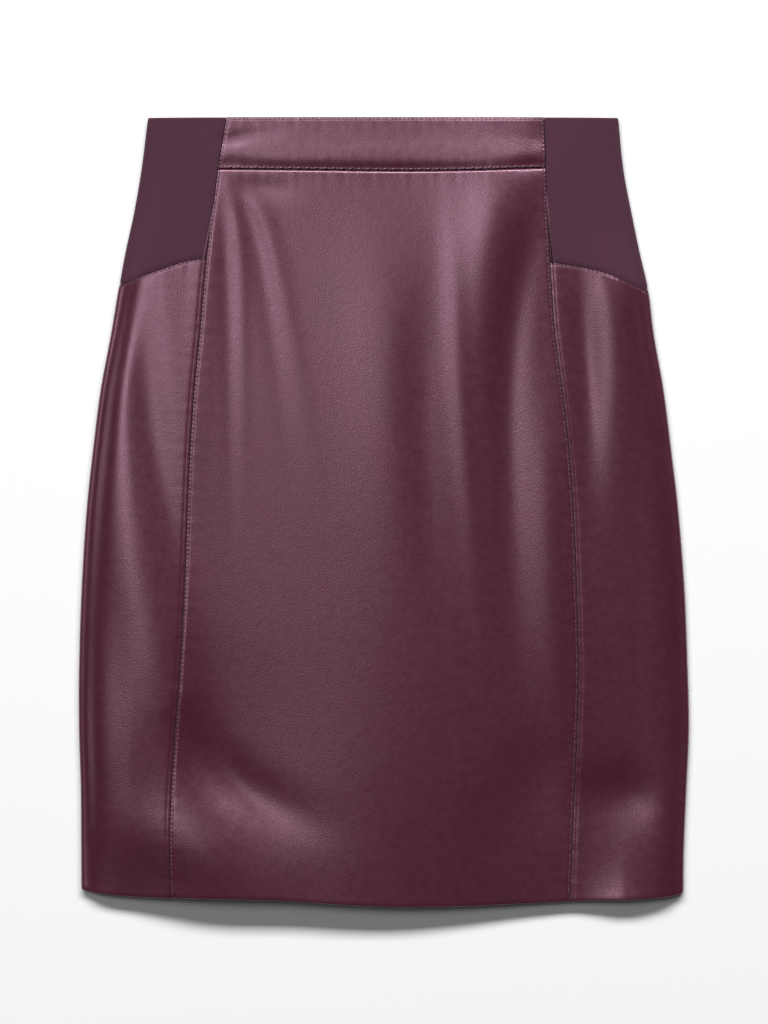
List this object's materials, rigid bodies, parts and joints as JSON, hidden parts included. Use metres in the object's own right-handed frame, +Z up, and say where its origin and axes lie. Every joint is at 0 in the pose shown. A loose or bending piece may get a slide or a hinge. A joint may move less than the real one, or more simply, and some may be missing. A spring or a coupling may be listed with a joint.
{
  "type": "leather skirt",
  "caption": "Knee-length fitted pencil skirt of burgundy leather with elastic side insets at the waist, laid flat on its back.",
  "frame": {"origin": "on the surface that the skirt lies on, under the middle of its outline", "axes": "+X to the right seen from above, +Y along the length up to the waist, +Z up from the surface to the front"},
  "size_m": [0.4802, 0.62, 0.0236],
  "materials": {
    "leather": "smooth coated nappa, soft sheen",
    "elastic": "matt woven elastic, fine ribs"
  },
  "bodies": {
    "root": {"front_waistband": "leather", "back_waistband": "leather", "front_panel": "leather", "back_panel": "leather", "left_side_panel": "leather", "right_side_panel": "leather", "left_elastic_inset": "elastic", "right_elastic_inset": "elastic"}
  },
  "joints": []
}
